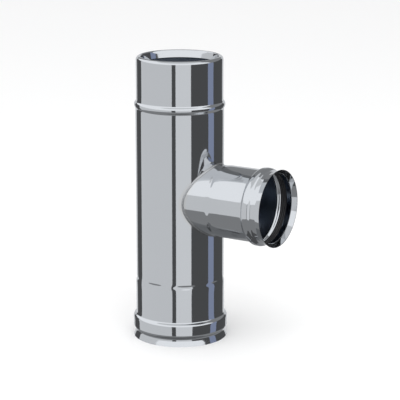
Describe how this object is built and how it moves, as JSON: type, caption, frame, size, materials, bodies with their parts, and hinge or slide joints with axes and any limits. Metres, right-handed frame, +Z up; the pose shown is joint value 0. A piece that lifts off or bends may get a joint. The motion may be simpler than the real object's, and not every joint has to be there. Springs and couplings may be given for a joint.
{
  "type": "stove pipe tee",
  "caption": "Bright stainless flue tee: upright run with a spigot on top and a beaded socket below, and a smaller socketed branch square to it.",
  "frame": {"origin": "on the run's axis, in the plane of the run's bottom rim", "axes": "+Z up the run's axis from socket to spigot, +X along the branch's axis towards its mouth"},
  "size_m": [0.1828, 0.1078, 0.325],
  "materials": {
    "run_steel": "bright annealed, mirror-like stainless sheet",
    "branch_steel": "bright annealed, mirror-like stainless sheet",
    "weld": "fine rippled weld, brushed clean",
    "seal_rubber": "matte black silicone"
  },
  "bodies": {
    "root": {"run_pipe": "run_steel", "branch_pipe": "branch_steel", "saddle_weld": "weld", "run_seam": "weld", "branch_seam": "weld", "run_seal": "seal_rubber", "branch_seal": "seal_rubber"}
  },
  "joints": []
}
